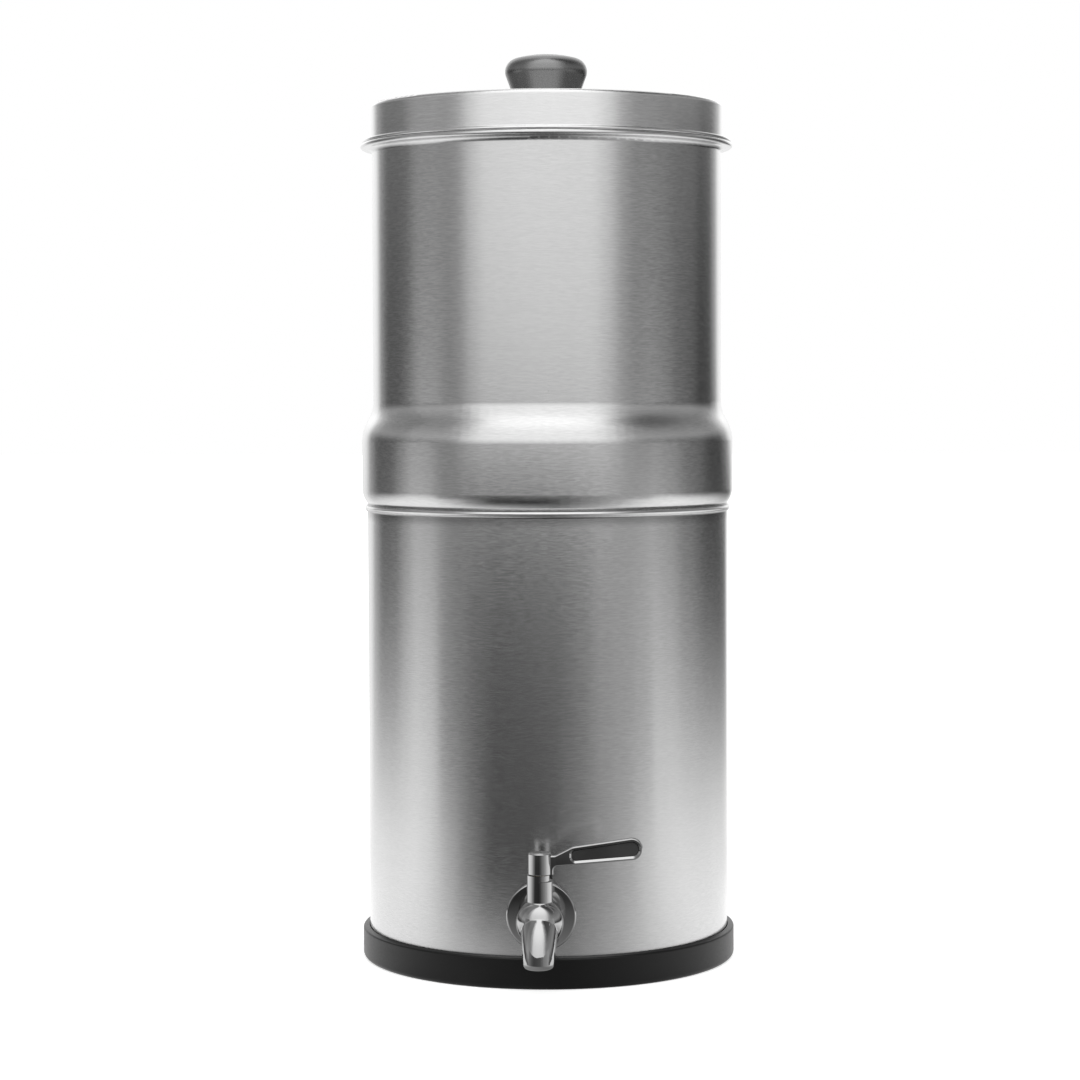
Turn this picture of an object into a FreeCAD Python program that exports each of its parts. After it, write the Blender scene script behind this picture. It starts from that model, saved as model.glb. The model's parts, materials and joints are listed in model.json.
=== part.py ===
"""A two-chamber gravity water filter in brushed stainless steel, with a quarter-turn tap.

Sizes are in millimetres. +Z is up, the origin is on the tank's axis where the base ring
meets the table, and the tap faces -Y. Heights are measured from the table.
"""

import FreeCAD
import Part

import math
import os

from FreeCAD import Vector

OUT = "parts"

# Sheet metal
sheet = 0.8
fold = 2.0

# Lower chamber, a drawn pot with a beaded rim
tank_radius = 108.0
tank_rim_z = 272.6
tank_corner = 6.0
rim_bead_out = 1.2
rim_bead_height = 3.6

# Base ring, moulded rubber that the pot stands in
ring_wall = 3.7
ring_height = 18.8
ring_sole = 3.0
ring_ledge = 10.0
ring_slip = 0.3
ring_top_round = 1.2
ring_foot_round = 3.0

# Upper chamber, a drawn pot with a swollen shoulder that sits on the lower rim
upper_step = 3.8
upper_height = 214.4
bulge_over = 3.1
bulge_height = 40.3
bulge_fall = 12.0
bulge_foot_round = 13.0
shoulder_in_round = 20.0
shoulder_out_round = 24.0
spigot_play = 1.0
spigot_depth = 21.4
upper_corner = 5.0
seat_gap = 0.25
rim_flange_out = 6.8
rim_flange_height = 3.0
rim_flange_round = 1.4
rim_neck_round = 3.0

# Lid, with a folded flange that lies on the upper rim and a lip that drops inside it
lid_skirt_out = 1.8
lid_height = 23.0
lid_corner = 2.6
lid_crown = 1.0
lid_flange_out = 6.0
lid_lip_drop = 8.0
lid_lip_play = 0.6

# Lid knob
knob_radius = 24.45
knob_round = 8.0
knob_height = 29.4
knob_belly_height = 19.2
knob_foot_radius = 17.9
screw_radius = 2.5
screw_play = 0.1
screw_head_radius = 4.75
screw_head_height = 3.0
screw_length = 14.0
knob_washer_radius = 7.5
knob_washer_thickness = 1.0
insert_radius = 4.2
insert_length = 12.0
insert_play = 0.05

# Filter candles, one each side of the middle of the upper floor
candle_reach = 50.0
stem_radius = 5.9
stem_hole_play = 0.6
stem_bore = 2.5
stem_drop = 35.0
seal_radius = 15.0
seal_thickness = 3.0
mount_radius = 34.5
mount_height = 14.0
mount_cup_depth = 9.0
ceramic_radius = 32.5
ceramic_height = 173.0
ceramic_wall = 8.5
ceramic_play = 0.2
core_radius = 20.0
core_top_gap = 6.0
nut_play = 0.1
wing_hub_radius = 10.0
wing_hub_height = 9.0
wing_span = 19.0
wing_thickness = 3.2
wing_height = 15.0
wing_round = 3.0

# Tap, measured forward from the tank's axis
tap_z = 42.5
gasket_thickness = 1.0
gasket_radius = 17.5
escutcheon_radius = 20.0
escutcheon_thickness = 3.0
escutcheon_round = 1.3
shank_radius = 7.95
shank_play = 0.25
shank_inside = 24.0
shank_bore = 5.0
socket_radius = 9.3
socket_play = 0.1
barrel_radius = 11.2
housing_radius = 13.6
housing_reach = 18.0
neck_radius = 7.25
neck_height = 27.0
inner_gasket_radius = 14.5
inner_gasket_thickness = 2.4
washer_radius = 14.0
washer_thickness = 1.2
nut_across_flats = 24.0
nut_thickness = 7.0

# Spout, a bent cone that leaves the housing and turns down
spout_start_angle = 25.0
spout_end_angle = 80.0
spout_bend = 32.8
spout_start_radius = 10.9
spout_end_radius = 8.7
spout_bore = 5.2
spout_stations = 7
outlet_drop = 22.75
outlet_round = 3.0

# Valve inside the tap
ball_radius = 7.0
ball_bore = 3.5
ball_play = 0.05
ball_end_room = 0.5
seat_ring_length = 3.6
seat_ring_bore = 4.0
tongue_width = 2.8
tongue_depth = 2.0
slot_play = 0.1
valve_stem_radius = 3.4
valve_stem_play = 0.15
gland_radius = 5.4
gland_play = 0.1
gland_length = 9.5
o_ring_radius = 0.65
o_ring_spacing = 2.6
square_size = 4.9
square_play = 0.1
square_length = 7.0

# Lever
hub_radius = 6.6
hub_gap = 0.4
hub_height = 12.1
hub_round = 0.7
hub_web = 8.0
cap_radius = 5.2
cap_thickness = 1.0
cap_proud = 0.2
cap_play = 0.1
lever_screw_radius = 1.95
lever_screw_head_radius = 3.5
lever_screw_head_height = 2.2
lever_screw_length = 8.0
lever_thickness = 4.2
lever_reach = 57.8
blade_low = 3.7
blade_low_rise = 0.0865
blade_high = 12.8
blade_high_rise = 0.152
knuckle_reach = 18.4
knuckle_round = 7.0
root_height = 10.6
root_round = 3.0
lever_round = 0.9
lever_tip_radius = 6.0
stop_depth = 3.5
stop_wall = 1.45
lug_angle = 12.0
lug_half_width = 12.0
lug_play = 0.3
stop_margin = 2.0
lever_travel = 90.0
gusset_reach = 1.1
gusset_round = 2.5
recess_start = 16.9
recess_inset = 1.0
recess_slope = 1.4
recess_depth = 2.0
recess_corner = 3.4
pad_thickness = 0.9
pad_play = 0.1

# Places worked out from the sizes above
tank_floor_z = ring_sole
ring_radius = tank_radius + ring_slip + ring_wall
bead_radius = tank_radius + rim_bead_out
upper_radius = tank_radius - upper_step
bulge_radius = tank_radius + bulge_over
spigot_radius = tank_radius - sheet - spigot_play
bead_top_round = (sheet + rim_bead_out) / 2 - 0.1
bead_crest_radius = tank_radius - sheet + bead_top_round
spigot_top_z = (tank_rim_z - bead_top_round + math.sqrt(2) * (bead_top_round + seat_gap)
                - (bead_crest_radius - spigot_radius))
bulge_foot_z = spigot_top_z + (bulge_radius - spigot_radius)
bulge_top_z = bulge_foot_z + bulge_height
shoulder_z = bulge_top_z + bulge_fall
upper_floor_z = spigot_top_z - spigot_depth
upper_inside_z = upper_floor_z + sheet
upper_rim_z = tank_rim_z + upper_height
rim_flange_radius = upper_radius + rim_flange_out
lid_top_z = upper_rim_z + lid_height
lid_centre_z = lid_top_z + lid_crown
lid_skirt_radius = upper_radius + lid_skirt_out
lid_flange_radius = upper_radius + lid_flange_out
lip_radius = upper_radius - sheet - lid_lip_play
screw_head_z = lid_centre_z - sheet - knob_washer_thickness - screw_head_height

gasket_front = tank_radius + gasket_thickness
escutcheon_front = gasket_front + escutcheon_thickness
housing_front = escutcheon_front + housing_reach
inner_gasket_back = tank_radius - sheet - inner_gasket_thickness
washer_back = inner_gasket_back - washer_thickness
nut_back = washer_back - nut_thickness
shank_back = tank_radius - shank_inside
socket_front = housing_front - ball_radius - ball_end_room
seat_front_end = housing_front + ball_radius + ball_end_room
neck_top_z = tap_z + neck_height
hub_z = neck_top_z + hub_gap
hub_top_z = hub_z + hub_height
stem_square_z = hub_z
stem_top_z = stem_square_z + square_length
outlet_z = tap_z - outlet_drop

UP = Vector(0, 0, 1)


def leg(point, other, distance):
    """The point that lies a distance from one corner towards another."""
    along = (other[0] - point[0], other[1] - point[1])
    length = math.hypot(*along)
    return (point[0] + along[0] * distance / length, point[1] + along[1] * distance / length)


def corner_cut(before, corner, after):
    """Tangent points and middle of the arc that rounds a corner, and nothing for a sharp one."""
    r, z, radius = corner
    if radius <= 0:
        return None
    a = math.atan2(before[1] - z, before[0] - r)
    b = math.atan2(after[1] - z, after[0] - r)
    half = abs((b - a + math.pi) % (2 * math.pi) - math.pi) / 2
    reach = radius / math.tan(half)
    start = leg(corner, before, reach)
    end = leg(corner, after, reach)
    middle = ((start[0] + end[0]) / 2, (start[1] + end[1]) / 2)
    centre = leg(corner, middle, radius / math.sin(half))
    return start, leg(centre, corner, radius), end


def chain(corners, closed=False):
    """Edges of a run of straight lines in the XZ plane, with its corners rounded as they say."""
    edges = []
    count = len(corners)
    place = None
    turns = []
    for i, corner in enumerate(corners):
        if not closed and i in (0, count - 1):
            turns.append(None)
        else:
            turns.append(corner_cut(corners[i - 1], corner, corners[(i + 1) % count]))
    order = list(range(count)) + ([0] if closed else [])
    for step, i in enumerate(order):
        turn = turns[i]
        arrive = turn[0] if turn else corners[i][:2]
        leave = turn[2] if turn else corners[i][:2]
        if step and math.dist(place, arrive) > 1e-6:
            edges.append(Part.makeLine(flat(place), flat(arrive)))
        if turn and (step or not closed):
            edges.append(Part.Arc(flat(turn[0]), flat(turn[1]), flat(turn[2])).toShape())
        place = leave
    return edges


def flat(point):
    """A point of the XZ plane, from its radius and its height."""
    return Vector(point[0], 0, point[1])


def turned(corners):
    """A solid turned about Z from a closed outline of (radius, height, rounding) corners."""
    face = Part.Face(Part.Wire(Part.__sortEdges__(chain(corners, closed=True))))
    return face.revolve(Vector(0, 0, 0), UP, 360)


def inside(corners, gap):
    """The same run of lines moved to its right-hand side by a gap, rounded about the same centres."""
    lines = []
    for a, b in zip(corners, corners[1:]):
        length = math.dist(a[:2], b[:2])
        normal = ((b[1] - a[1]) / length, -(b[0] - a[0]) / length)
        lines.append(((a[0] + normal[0] * gap, a[1] + normal[1] * gap),
                      ((b[0] - a[0]) / length, (b[1] - a[1]) / length)))
    moved = [(*lines[0][0], 0)]
    for (p, d), (q, e), corner in zip(lines, lines[1:], corners[1:]):
        cross = d[0] * e[1] - d[1] * e[0]
        t = ((q[0] - p[0]) * e[1] - (q[1] - p[1]) * e[0]) / cross
        radius = corner[2] + gap if cross > 0 else corner[2] - gap
        moved.append((p[0] + d[0] * t, p[1] + d[1] * t, max(radius, 0)))
    last, direction = lines[-1]
    t = ((corners[-1][0] - last[0]) / direction[0]) if direction[0] else 0
    moved.append((corners[-1][0], last[1] + direction[1] * t, 0))
    return moved


def drawn_shell(corners, thickness):
    """A sheet-metal shell turned about Z. The run of corners is its outer face, mouth first.

    The metal lies to the right of the run, or to its left when the thickness is negative.
    """
    outer = chain(corners)
    inner = chain(inside(corners, thickness))
    mouth = Part.makeLine(outer[0].Vertexes[0].Point, inner[0].Vertexes[0].Point)
    centre = Part.makeLine(outer[-1].Vertexes[-1].Point, inner[-1].Vertexes[-1].Point)
    face = Part.Face(Part.Wire(Part.__sortEdges__(outer + inner + [mouth, centre])))
    return face.revolve(Vector(0, 0, 0), UP, 360)


def disc(radius, bottom, top, hole=0.0, top_round=0.0, bottom_round=0.0):
    """A disc or, with a hole, a washer about Z, with its outer edges rounded."""
    return turned([(hole, bottom, 0), (radius, bottom, bottom_round),
                   (radius, top, top_round), (hole, top, 0)])


def post(radius, bottom, top, at=(0, 0)):
    """A plain upright cylinder."""
    return Part.makeCylinder(radius, top - bottom, Vector(at[0], at[1], bottom))


def forward(shape):
    """Lays a part that was turned about Z along the tap's axis, so that its height becomes its reach."""
    laid = shape.copy()
    laid.rotate(Vector(0, 0, 0), Vector(1, 0, 0), 90)
    laid.translate(Vector(0, 0, tap_z))
    return laid


def over_neck(shape):
    """Moves a part that was turned about Z onto the tap's upright axis."""
    moved = shape.copy()
    moved.translate(Vector(0, -housing_front, 0))
    return moved


def hexagon(across_flats, bottom, top):
    """A hexagonal prism about Z."""
    reach = across_flats / math.sqrt(3)
    points = [Vector(reach * math.cos(math.radians(60 * i)), reach * math.sin(math.radians(60 * i)), bottom)
              for i in range(7)]
    return Part.Face(Part.makePolygon(points)).extrude(Vector(0, 0, top - bottom))


def sector(inner, outer, bottom, top, start, end):
    """A piece of a ring about Z, between two angles in degrees."""
    ring = turned([(inner, bottom, 0), (outer, bottom, 0), (outer, top, 0), (inner, top, 0)])
    reach = 4 * outer
    middle = math.radians((start + end) / 2)
    points = [Vector(0, 0, bottom)]
    for angle in (math.radians(start), middle, math.radians(end)):
        points.append(Vector(reach * math.cos(angle), reach * math.sin(angle), bottom))
    wedge = Part.Face(Part.makePolygon(points + points[:1])).extrude(Vector(0, 0, top - bottom))
    return ring.common(wedge)


def save(name, shape):
    """Writes one sub-part, and says how large it is."""
    clean = shape.removeSplitter() if len(shape.Solids) == 1 else shape
    if not clean.isValid() or not clean.Solids:
        raise ValueError(name + " is not a valid solid")
    box = clean.optimalBoundingBox(False)
    print("%-24s %d solid  %9.0f mm3  x %6.1f..%6.1f  y %6.1f..%6.1f  z %6.1f..%6.1f" % (
        name, len(clean.Solids), clean.Volume, box.XMin, box.XMax, box.YMin, box.YMax, box.ZMin, box.ZMax))
    clean.exportStep(os.path.join(OUT, name + ".step"))


def lower_chamber():
    """The pot that holds filtered water: beaded rim, plain wall, flat floor and a tap hole."""
    pot = drawn_shell([
        (tank_radius, tank_rim_z - rim_bead_height / 2, 0),
        (tank_radius, tank_floor_z, tank_corner),
        (0, tank_floor_z, 0)], sheet)
    bead = turned([
        (tank_radius - sheet, tank_rim_z - rim_bead_height - sheet, 0),
        (tank_radius, tank_rim_z - rim_bead_height - sheet, 0),
        (bead_radius, tank_rim_z - rim_bead_height, 0.5),
        (bead_radius, tank_rim_z, bead_top_round),
        (tank_radius - sheet, tank_rim_z, bead_top_round)])
    hole = forward(post(shank_radius + shank_play, tank_radius - 5, tank_radius + 5))
    return pot.fuse(bead).cut(hole)


def base_ring():
    """The rubber ring: a wall round the foot of the pot and a sole with a ledge under it."""
    slip_radius = tank_radius + ring_slip
    return turned([
        (tank_radius - ring_ledge, 0, 0.8),
        (ring_radius, 0, ring_foot_round),
        (ring_radius, ring_height - 0.6, ring_top_round),
        (slip_radius, ring_height, 0.3),
        (slip_radius, ring_sole, tank_corner + ring_slip),
        (tank_radius - ring_ledge, ring_sole, 0.8)])


def upper_chamber():
    """The pot that holds the candles: rim flange, wall, shoulder, bulge, spigot and drilled floor."""
    pot = drawn_shell([
        (upper_radius, upper_rim_z - rim_flange_height / 2, 0),
        (upper_radius, shoulder_z, shoulder_in_round),
        (bulge_radius, bulge_top_z, shoulder_out_round),
        (bulge_radius, bulge_foot_z, bulge_foot_round),
        (spigot_radius, spigot_top_z, fold),
        (spigot_radius, upper_floor_z, upper_corner),
        (0, upper_floor_z, 0)], sheet)
    flange = turned([
        (upper_radius - sheet, upper_rim_z - rim_flange_height - 2 * rim_neck_round, 0),
        (upper_radius, upper_rim_z - rim_flange_height - 2 * rim_neck_round, 0),
        (upper_radius, upper_rim_z - rim_flange_height, rim_neck_round),
        (rim_flange_radius, upper_rim_z - rim_flange_height, rim_flange_round),
        (rim_flange_radius, upper_rim_z, rim_flange_round),
        (upper_radius - sheet, upper_rim_z, 0.7)])
    pot = pot.fuse(flange)
    for place in candle_places():
        pot = pot.cut(post(stem_radius + stem_hole_play, upper_floor_z - 1, upper_inside_z + 1, place))
    return pot


def candle_places():
    """Where the two candles stand, left and right."""
    return [(-candle_reach, 0), (candle_reach, 0)]


def at(shape, place):
    """A copy moved to a place on the floor."""
    moved = shape.copy()
    moved.translate(Vector(place[0], place[1], 0))
    return moved


def filter_seal():
    """The silicone washer between a candle and the floor."""
    return disc(seal_radius, upper_inside_z, upper_inside_z + seal_thickness,
                stem_radius + stem_hole_play, 0.6, 0)


def filter_mount():
    """A candle's plastic foot: a cup for the ceramic, and a hollow threaded stem through the floor."""
    foot_z = upper_inside_z + seal_thickness
    cup_z = foot_z + mount_height - mount_cup_depth
    cup = turned([
        (0, foot_z, 0),
        (mount_radius, foot_z, 2),
        (mount_radius, foot_z + mount_height, 0.8),
        (ceramic_radius + ceramic_play, foot_z + mount_height, 0.4),
        (ceramic_radius + ceramic_play, cup_z, 0),
        (0, cup_z, 0)])
    stem = turned([
        (0, upper_floor_z - stem_drop, 0),
        (stem_radius, upper_floor_z - stem_drop, 1),
        (stem_radius, foot_z + 1, 0),
        (0, foot_z + 1, 0)])
    return cup.fuse(stem).cut(post(stem_bore, upper_floor_z - stem_drop - 1, cup_z + 1))


def filter_ceramic():
    """A candle's ceramic: a thimble with a round end."""
    bottom = upper_inside_z + seal_thickness + mount_height - mount_cup_depth
    top = bottom + ceramic_height
    bore = ceramic_radius - ceramic_wall
    dome = ceramic_radius * 0.72
    return turned([
        (bore, bottom, 0),
        (ceramic_radius, bottom, 0.5),
        (ceramic_radius, top, dome),
        (0, top, 0),
        (0, top - ceramic_wall, 0),
        (bore, top - ceramic_wall, dome - ceramic_wall)])


def filter_core():
    """The block of activated carbon inside a candle."""
    bottom = upper_inside_z + seal_thickness + mount_height - mount_cup_depth
    top = bottom + ceramic_height - ceramic_wall - core_top_gap
    return disc(core_radius, bottom, top, stem_bore, 4)


def wing_nut():
    """The nut that draws a candle down: a hub and two wings that rise towards their tips."""
    top = upper_floor_z
    bottom = top - wing_hub_height
    nut = turned([
        (stem_radius + nut_play, bottom, 0),
        (wing_hub_radius, bottom, 1.5),
        (wing_hub_radius + 1.5, top, 0.5),
        (stem_radius + nut_play, top, 0)])
    half = wing_thickness / 2
    root = stem_radius + nut_play + 1.5
    corners = [
        (root, top - 2, 0),
        (wing_span, top - wing_height / 2, wing_round),
        (wing_span, top - wing_height, wing_round),
        (root, bottom + 1, 0)]
    outline = Part.Face(Part.Wire(Part.__sortEdges__(chain(corners, closed=True))))
    outline.translate(Vector(0, -half, 0))
    wing = outline.extrude(Vector(0, wing_thickness, 0))
    other = wing.copy()
    other.rotate(Vector(0, 0, 0), UP, 180)
    return nut.fuse([wing, other])


def lid():
    """The lid: crowned top, skirt, folded flange on the rim, and the lip that drops inside the pot."""
    cover = drawn_shell([
        (lid_skirt_radius, upper_rim_z + fold / 2, 0),
        (lid_skirt_radius, lid_top_z, lid_corner),
        (knob_foot_radius + 6, lid_centre_z, 4),
        (0, lid_centre_z, 0)], -sheet)
    flange = turned([
        (lip_radius - sheet, upper_rim_z - lid_lip_drop, 0.3),
        (lip_radius, upper_rim_z - lid_lip_drop, 0.3),
        (lip_radius, upper_rim_z, 0),
        (lid_flange_radius, upper_rim_z, fold * 0.45),
        (lid_flange_radius, upper_rim_z + fold, fold * 0.45),
        (lid_skirt_radius, upper_rim_z + fold, 0.8),
        (lid_skirt_radius, upper_rim_z + fold + 2, 0),
        (lid_skirt_radius - sheet, upper_rim_z + fold + 2, 0),
        (lid_skirt_radius - sheet, upper_rim_z + fold, 0.8),
        (lip_radius - sheet, upper_rim_z + fold, 0.8)])
    return cover.fuse(flange).cut(post(screw_radius + screw_play, lid_centre_z - 3, lid_centre_z + 1))


def lid_knob():
    """The moulded knob: a domed top, a full belly and a tapered foot."""
    top = lid_centre_z + knob_height
    belly_z = lid_centre_z + knob_belly_height
    round_centre = knob_radius - knob_round
    drop = top - belly_z
    dome = (round_centre ** 2 + drop ** 2 - knob_round ** 2) / (2 * (drop - knob_round))
    dome_centre_z = top - dome
    away = math.atan2(round_centre, belly_z - dome_centre_z)
    dome_end = (dome * math.sin(away), dome_centre_z + dome * math.cos(away))
    dome_middle = (dome * math.sin(away / 2), dome_centre_z + dome * math.cos(away / 2))
    foot = (knob_foot_radius, lid_centre_z)
    side = tangent_point(foot, (round_centre, belly_z), knob_round)
    widest = (knob_radius, belly_z)
    lower_mid = arc_middle((round_centre, belly_z), knob_round, side, widest)
    upper_mid = arc_middle((round_centre, belly_z), knob_round, widest, dome_end)
    edges = [
        Part.Arc(flat((0, top)), flat(dome_middle), flat(dome_end)).toShape(),
        Part.Arc(flat(dome_end), flat(upper_mid), flat(widest)).toShape(),
        Part.Arc(flat(widest), flat(lower_mid), flat(side)).toShape(),
        Part.makeLine(flat(side), flat(foot)),
        Part.makeLine(flat(foot), flat((0, lid_centre_z))),
        Part.makeLine(flat((0, lid_centre_z)), flat((0, top)))]
    knob = Part.Face(Part.Wire(edges)).revolve(Vector(0, 0, 0), UP, 360)
    socket = post(insert_radius + insert_play, lid_centre_z - 1, lid_centre_z + insert_length)
    blind = post(screw_radius + screw_play, lid_centre_z, lid_centre_z + screw_length + 2)
    return knob.cut(socket).cut(blind)


def tangent_point(point, centre, radius):
    """Where the line from a point touches a circle, on the side away from the axis."""
    dx = point[0] - centre[0]
    dz = point[1] - centre[1]
    distance = math.hypot(dx, dz)
    turn = math.acos(radius / distance)
    angle = math.atan2(dz, dx) + turn
    return (centre[0] + radius * math.cos(angle), centre[1] + radius * math.sin(angle))


def arc_middle(centre, radius, a, b):
    """The middle of the shorter arc between two points of a circle."""
    middle = ((a[0] + b[0]) / 2, (a[1] + b[1]) / 2)
    return leg(centre, middle, radius)


def knob_insert():
    """The threaded brass bush that is moulded into the knob's foot, with its knurls."""
    bush = disc(insert_radius, lid_centre_z, lid_centre_z + insert_length, screw_radius + screw_play / 2)
    grooves = 12
    for i in range(grooves):
        angle = 2 * math.pi * i / grooves
        bush = bush.cut(post(0.35, lid_centre_z + 1.5, lid_centre_z + insert_length - 1.5,
                             (insert_radius * math.cos(angle), insert_radius * math.sin(angle))))
    return bush


def knob_washer():
    """The flat washer under the lid."""
    top = lid_centre_z - sheet
    return disc(knob_washer_radius, top - knob_washer_thickness, top, screw_radius + screw_play, 0.2, 0.2)


def knob_screw():
    """The pan-head screw that holds the knob, with a cross slot."""
    seat = screw_head_z + screw_head_height
    head = disc(screw_head_radius, screw_head_z, seat, 0, 0, 1.4)
    shank = post(screw_radius, seat - 0.5, seat + screw_length)
    screw = head.fuse(shank)
    for width, depth in ((5.0, 1.1), (1.1, 5.0)):
        screw = screw.cut(Part.makeBox(width, depth, 1.4, Vector(-width / 2, -depth / 2, screw_head_z - 0.2)))
    return screw


def tap_gasket():
    """The outer washer: flat in front, hollowed at the back to lie on the round wall."""
    blank = forward(disc(gasket_radius, tank_radius - 4, gasket_front, shank_radius + shank_play))
    return blank.cut(post(tank_radius, tap_z - 40, tap_z + 40))


def tap_escutcheon():
    """The polished round plate behind the tap."""
    return forward(disc(escutcheon_radius, gasket_front, escutcheon_front,
                        shank_radius + shank_play, escutcheon_round, 0.3))


def tap_inner_gasket():
    """The washer inside the tank: flat at the back, rounded in front to lie in the curved wall."""
    blank = forward(disc(inner_gasket_radius, inner_gasket_back, tank_radius, shank_radius + shank_play))
    return blank.common(post(tank_radius - sheet, tap_z - 40, tap_z + 40))


def tap_washer():
    """The steel washer under the nut."""
    return forward(disc(washer_radius, washer_back, inner_gasket_back, shank_radius + shank_play, 0.2, 0.2))


def tap_nut():
    """The hexagonal nut inside the tank, with its corners turned off."""
    nut = hexagon(nut_across_flats, nut_back, washer_back)
    trim = disc(nut_across_flats / math.sqrt(3), nut_back, washer_back, 0, 0, 1.6)
    return forward(nut.common(trim).cut(post(shank_radius + shank_play / 4, nut_back - 1, washer_back + 1)))


def tap_shank():
    """The threaded tube that goes through the wall and screws into the housing behind the valve."""
    tube = turned([
        (shank_bore, shank_back, 0),
        (shank_radius, shank_back, 1),
        (shank_radius, escutcheon_front, 0),
        (socket_radius - socket_play, escutcheon_front, 0),
        (socket_radius - socket_play, socket_front, 0),
        (shank_bore, socket_front, 0)])
    pitch = 1.5
    start = shank_back + 2 * pitch
    turns = int((nut_back - start) / pitch)
    for i in range(turns):
        z = start + i * pitch
        groove = turned([
            (shank_radius - 0.8, z, 0),
            (shank_radius + 0.5, z - 0.75, 0),
            (shank_radius + 0.5, z + 0.75, 0)])
        tube = tube.cut(groove)
    return forward(tube)


def spout_path(angle):
    """A point of the spout's bend, as reach and height, at an angle below the level."""
    start = math.radians(spout_start_angle)
    here = math.radians(angle)
    reach = housing_front + spout_bend * (math.sin(here) - math.sin(start))
    height = tap_z - spout_bend * (math.cos(start) - math.cos(here))
    return reach, height


def bent_cone(first_radius, last_radius, last_angle):
    """A round section carried along the spout's bend, tapering evenly."""
    rings = []
    for i in range(spout_stations):
        share = i / (spout_stations - 1)
        angle = spout_start_angle + share * (last_angle - spout_start_angle)
        reach, height = spout_path(angle)
        radius = first_radius + share * (last_radius - first_radius)
        heading = Vector(0, -math.cos(math.radians(angle)), -math.sin(math.radians(angle)))
        ring = Part.makeCircle(radius, Vector(0, -reach, height), heading)
        rings.append(Part.Wire([ring]))
    return Part.makeLoft(rings, True, False)


def tap_body():
    """The housing: a round valve chamber with a barrel behind, a neck above and a spout in front."""
    past_outlet = spout_end_angle + 10
    housing = Part.makeSphere(housing_radius, Vector(0, -housing_front, tap_z))
    barrel = forward(disc(barrel_radius, escutcheon_front, housing_front, 0, 0, 0.8))
    neck = over_neck(post(neck_radius, tap_z, neck_top_z))
    taper = (spout_end_radius - spout_start_radius) / (spout_end_angle - spout_start_angle)
    spout = bent_cone(spout_start_radius, spout_start_radius + taper * (past_outlet - spout_start_angle),
                      past_outlet)
    below = Part.makeBox(80, 80, 40, Vector(-40, -housing_front - 60, outlet_z - 40))
    spout = spout.cut(below)
    body = housing.fuse(barrel).fuse(neck).fuse(spout).removeSplitter()
    body = soften(body)
    chamber = forward(post(socket_radius, escutcheon_front - 1, seat_front_end))
    throat = bent_cone(spout_bore, spout_bore, past_outlet)
    stem_way = over_neck(post(valve_stem_radius + valve_stem_play, tap_z, neck_top_z + 1))
    gland_way = over_neck(post(gland_radius + gland_play, neck_top_z - gland_length, neck_top_z + 1))
    body = body.cut(chamber).cut(throat).cut(stem_way).cut(gland_way)
    stop = over_neck(sector(neck_radius - stop_wall, neck_radius + 1, neck_top_z - stop_depth, neck_top_z + 1,
                            lug_angle - lever_travel - lug_half_width - stop_margin,
                            lug_angle + lug_half_width + stop_margin))
    return body.cut(stop)


def soften(body):
    """Rounds the creases where the neck and the spout leave the housing, and the outlet's edge."""
    for radius, wanted in ((2.0, is_spout_crease), (1.2, is_neck_crease), (outlet_round, is_outlet_edge)):
        edges = [e for e in body.Edges if e.Length > 1 and wanted(e)]
        print("rounding", len(edges), "edges to", radius)
        if edges:
            body = body.makeFillet(radius, edges)
    return body


def is_outlet_edge(edge):
    """True for the outer edge of the spout's cut end."""
    box = edge.BoundBox
    return abs(box.ZMax - outlet_z) < 0.05 and abs(box.ZMin - outlet_z) < 0.05


def is_neck_crease(edge):
    """True for the circle where the neck meets the housing."""
    box = edge.BoundBox
    level = tap_z + math.sqrt(housing_radius ** 2 - neck_radius ** 2)
    return abs(box.ZMax - level) < 0.05 and abs(box.ZMin - level) < 0.05 and box.XLength > 1


def is_spout_crease(edge):
    """True for the closed crease where the spout leaves the housing."""
    box = edge.BoundBox
    centre = Vector(0, -housing_front, tap_z)
    points = edge.discretize(9)
    on_housing = all(abs((p - centre).Length - housing_radius) < 0.05 for p in points)
    return on_housing and box.YMax < -housing_front and box.ZMin < tap_z - 1


def valve_seat(back):
    """A seat ring of slippery plastic, hollowed to fit the ball."""
    ring = forward(disc(socket_radius - socket_play, back, back + seat_ring_length, seat_ring_bore))
    return ring.cut(Part.makeSphere(ball_radius + ball_play, Vector(0, -housing_front, tap_z)))


def valve_ball():
    """The ball, shut: its bore lies across the tap. A slot in its crown takes the stem's tongue."""
    ball = Part.makeSphere(ball_radius, Vector(0, -housing_front, tap_z))
    bore = Part.makeCylinder(ball_bore, 4 * ball_radius, Vector(-2 * ball_radius, -housing_front, tap_z),
                             Vector(1, 0, 0))
    width = tongue_width + 2 * slot_play
    slot = Part.makeBox(4 * ball_radius, width, 2 * tongue_depth,
                        Vector(-2 * ball_radius, -housing_front - width / 2,
                               tap_z + ball_radius - tongue_depth - slot_play))
    return ball.cut(bore).cut(slot)


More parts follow.
